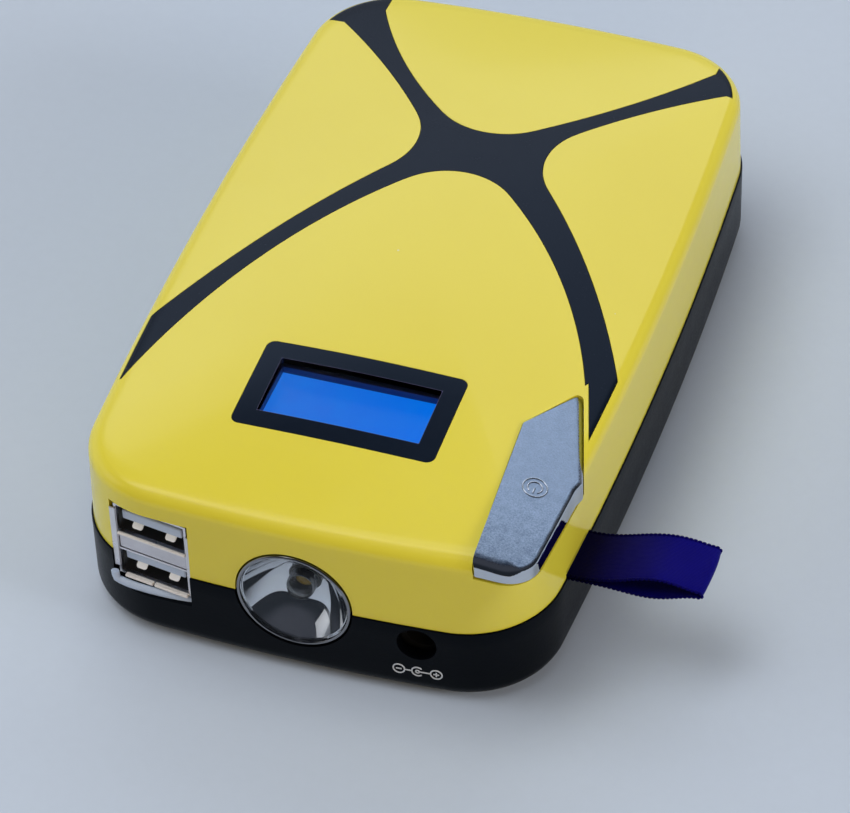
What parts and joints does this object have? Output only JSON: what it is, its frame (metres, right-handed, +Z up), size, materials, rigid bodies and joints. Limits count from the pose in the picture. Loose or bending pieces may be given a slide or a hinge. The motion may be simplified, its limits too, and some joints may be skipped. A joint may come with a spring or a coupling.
{
  "type": "jump starter pack",
  "caption": "Hand-sized lithium jump starter pack with display, charging ports, torch, charger inlet, corner button, ribbon loop and a covered high-current socket.",
  "frame": {"origin": "middle of the flat underside, on the surface that the pack lies on", "axes": "+Z up through the crowned top; +Y along the case from the port end to the jump socket end; +X towards the side with the button and the ribbon loop"},
  "size_m": [0.1045, 0.138, 0.0348],
  "materials": {
    "case_black": "satin",
    "case_yellow": "gloss",
    "inlay_black": "gloss",
    "display_window": "clear, with a dark printed border",
    "display_frame": "satin",
    "display_blue": "lit from behind",
    "white_plastic": "satin",
    "board_green": "solder mask",
    "component_grey": "satin",
    "steel": "bright nickel plate",
    "ivory_plastic": "satin",
    "gold_plate": "bright",
    "reflector_chrome": "mirror",
    "clear_lens": "clear",
    "led_dome": "gloss",
    "black_plastic": "satin",
    "button_chrome": "satin top with bright edges",
    "socket_blue": "satin",
    "cover_rubber": "matt",
    "cell_foil": "foil",
    "foam_grey": "foam",
    "nickel": "nickel strip",
    "lead_red": "silicone",
    "lead_black": "silicone",
    "ribbon_blue": "satin weave"
  },
  "bodies": {
    "pack": {"lower_shell": "case_black", "upper_shell": "case_yellow", "x_inlay": "inlay_black", "lcd_lens": "display_window", "lcd_bezel": "display_frame", "lcd_panel": "display_blue", "lcd_backlight": "white_plastic", "lcd_board": "board_green", "main_board": "board_green", "board_parts": "component_grey", "board_screws": "steel", "usb_shell": "steel", "usb_core": "ivory_plastic", "usb_contacts": "gold_plate", "torch_reflector": "reflector_chrome", "torch_lens": "clear_lens", "torch_led": "led_dome", "torch_board": "white_plastic", "inlet_jack": "black_plastic", "inlet_pin": "steel", "button_switch": "component_grey", "button_board": "board_green", "jump_socket": "socket_blue", "jump_contacts": "gold_plate", "cover_pin": "steel", "battery_cell_1": "cell_foil", "battery_cell_2": "cell_foil", "battery_cell_3": "cell_foil", "foam_pads": "foam_grey", "cell_tabs": "nickel", "protection_board": "board_green", "lead_positive": "lead_red", "lead_negative": "lead_black", "case_screws": "steel", "strap_tail": "ribbon_blue", "strap_bar": "steel"},
    "button": {"power_button": "button_chrome"},
    "plunger": {"switch_plunger": "black_plastic"},
    "cover": {"socket_cover": "cover_rubber"},
    "loop": {"strap": "ribbon_blue"}
  },
  "joints": [
    {"name": "button_press", "type": "slide", "parent": "pack", "child": "button", "axis": [0, 0, -1], "range_m": [0, 0.0004], "stiffness_N_per_m": 2500, "springref_m": -0.0003},
    {"name": "plunger_press", "type": "slide", "parent": "pack", "child": "plunger", "axis": [0, 0, -1], "range_m": [0, 0.0004]},
    {"name": "cover_swing", "type": "hinge", "parent": "pack", "child": "cover", "pos_m": [-0.0154, 0.06725, 0.015], "axis": [0, 0, 1], "range_deg": [0, 105]},
    {"name": "loop_flex", "type": "hinge", "parent": "pack", "child": "loop", "pos_m": [0.04108, -0.0452, 0.0155], "axis": [0, 1, 0], "range_deg": [-30, 30], "stiffness_Nm_per_rad": 0.002, "springref_deg": -0.74}
  ],
  "couplings": [
    {"joint": "plunger_press", "follows": "button_press", "ratio": 1}
  ]
}
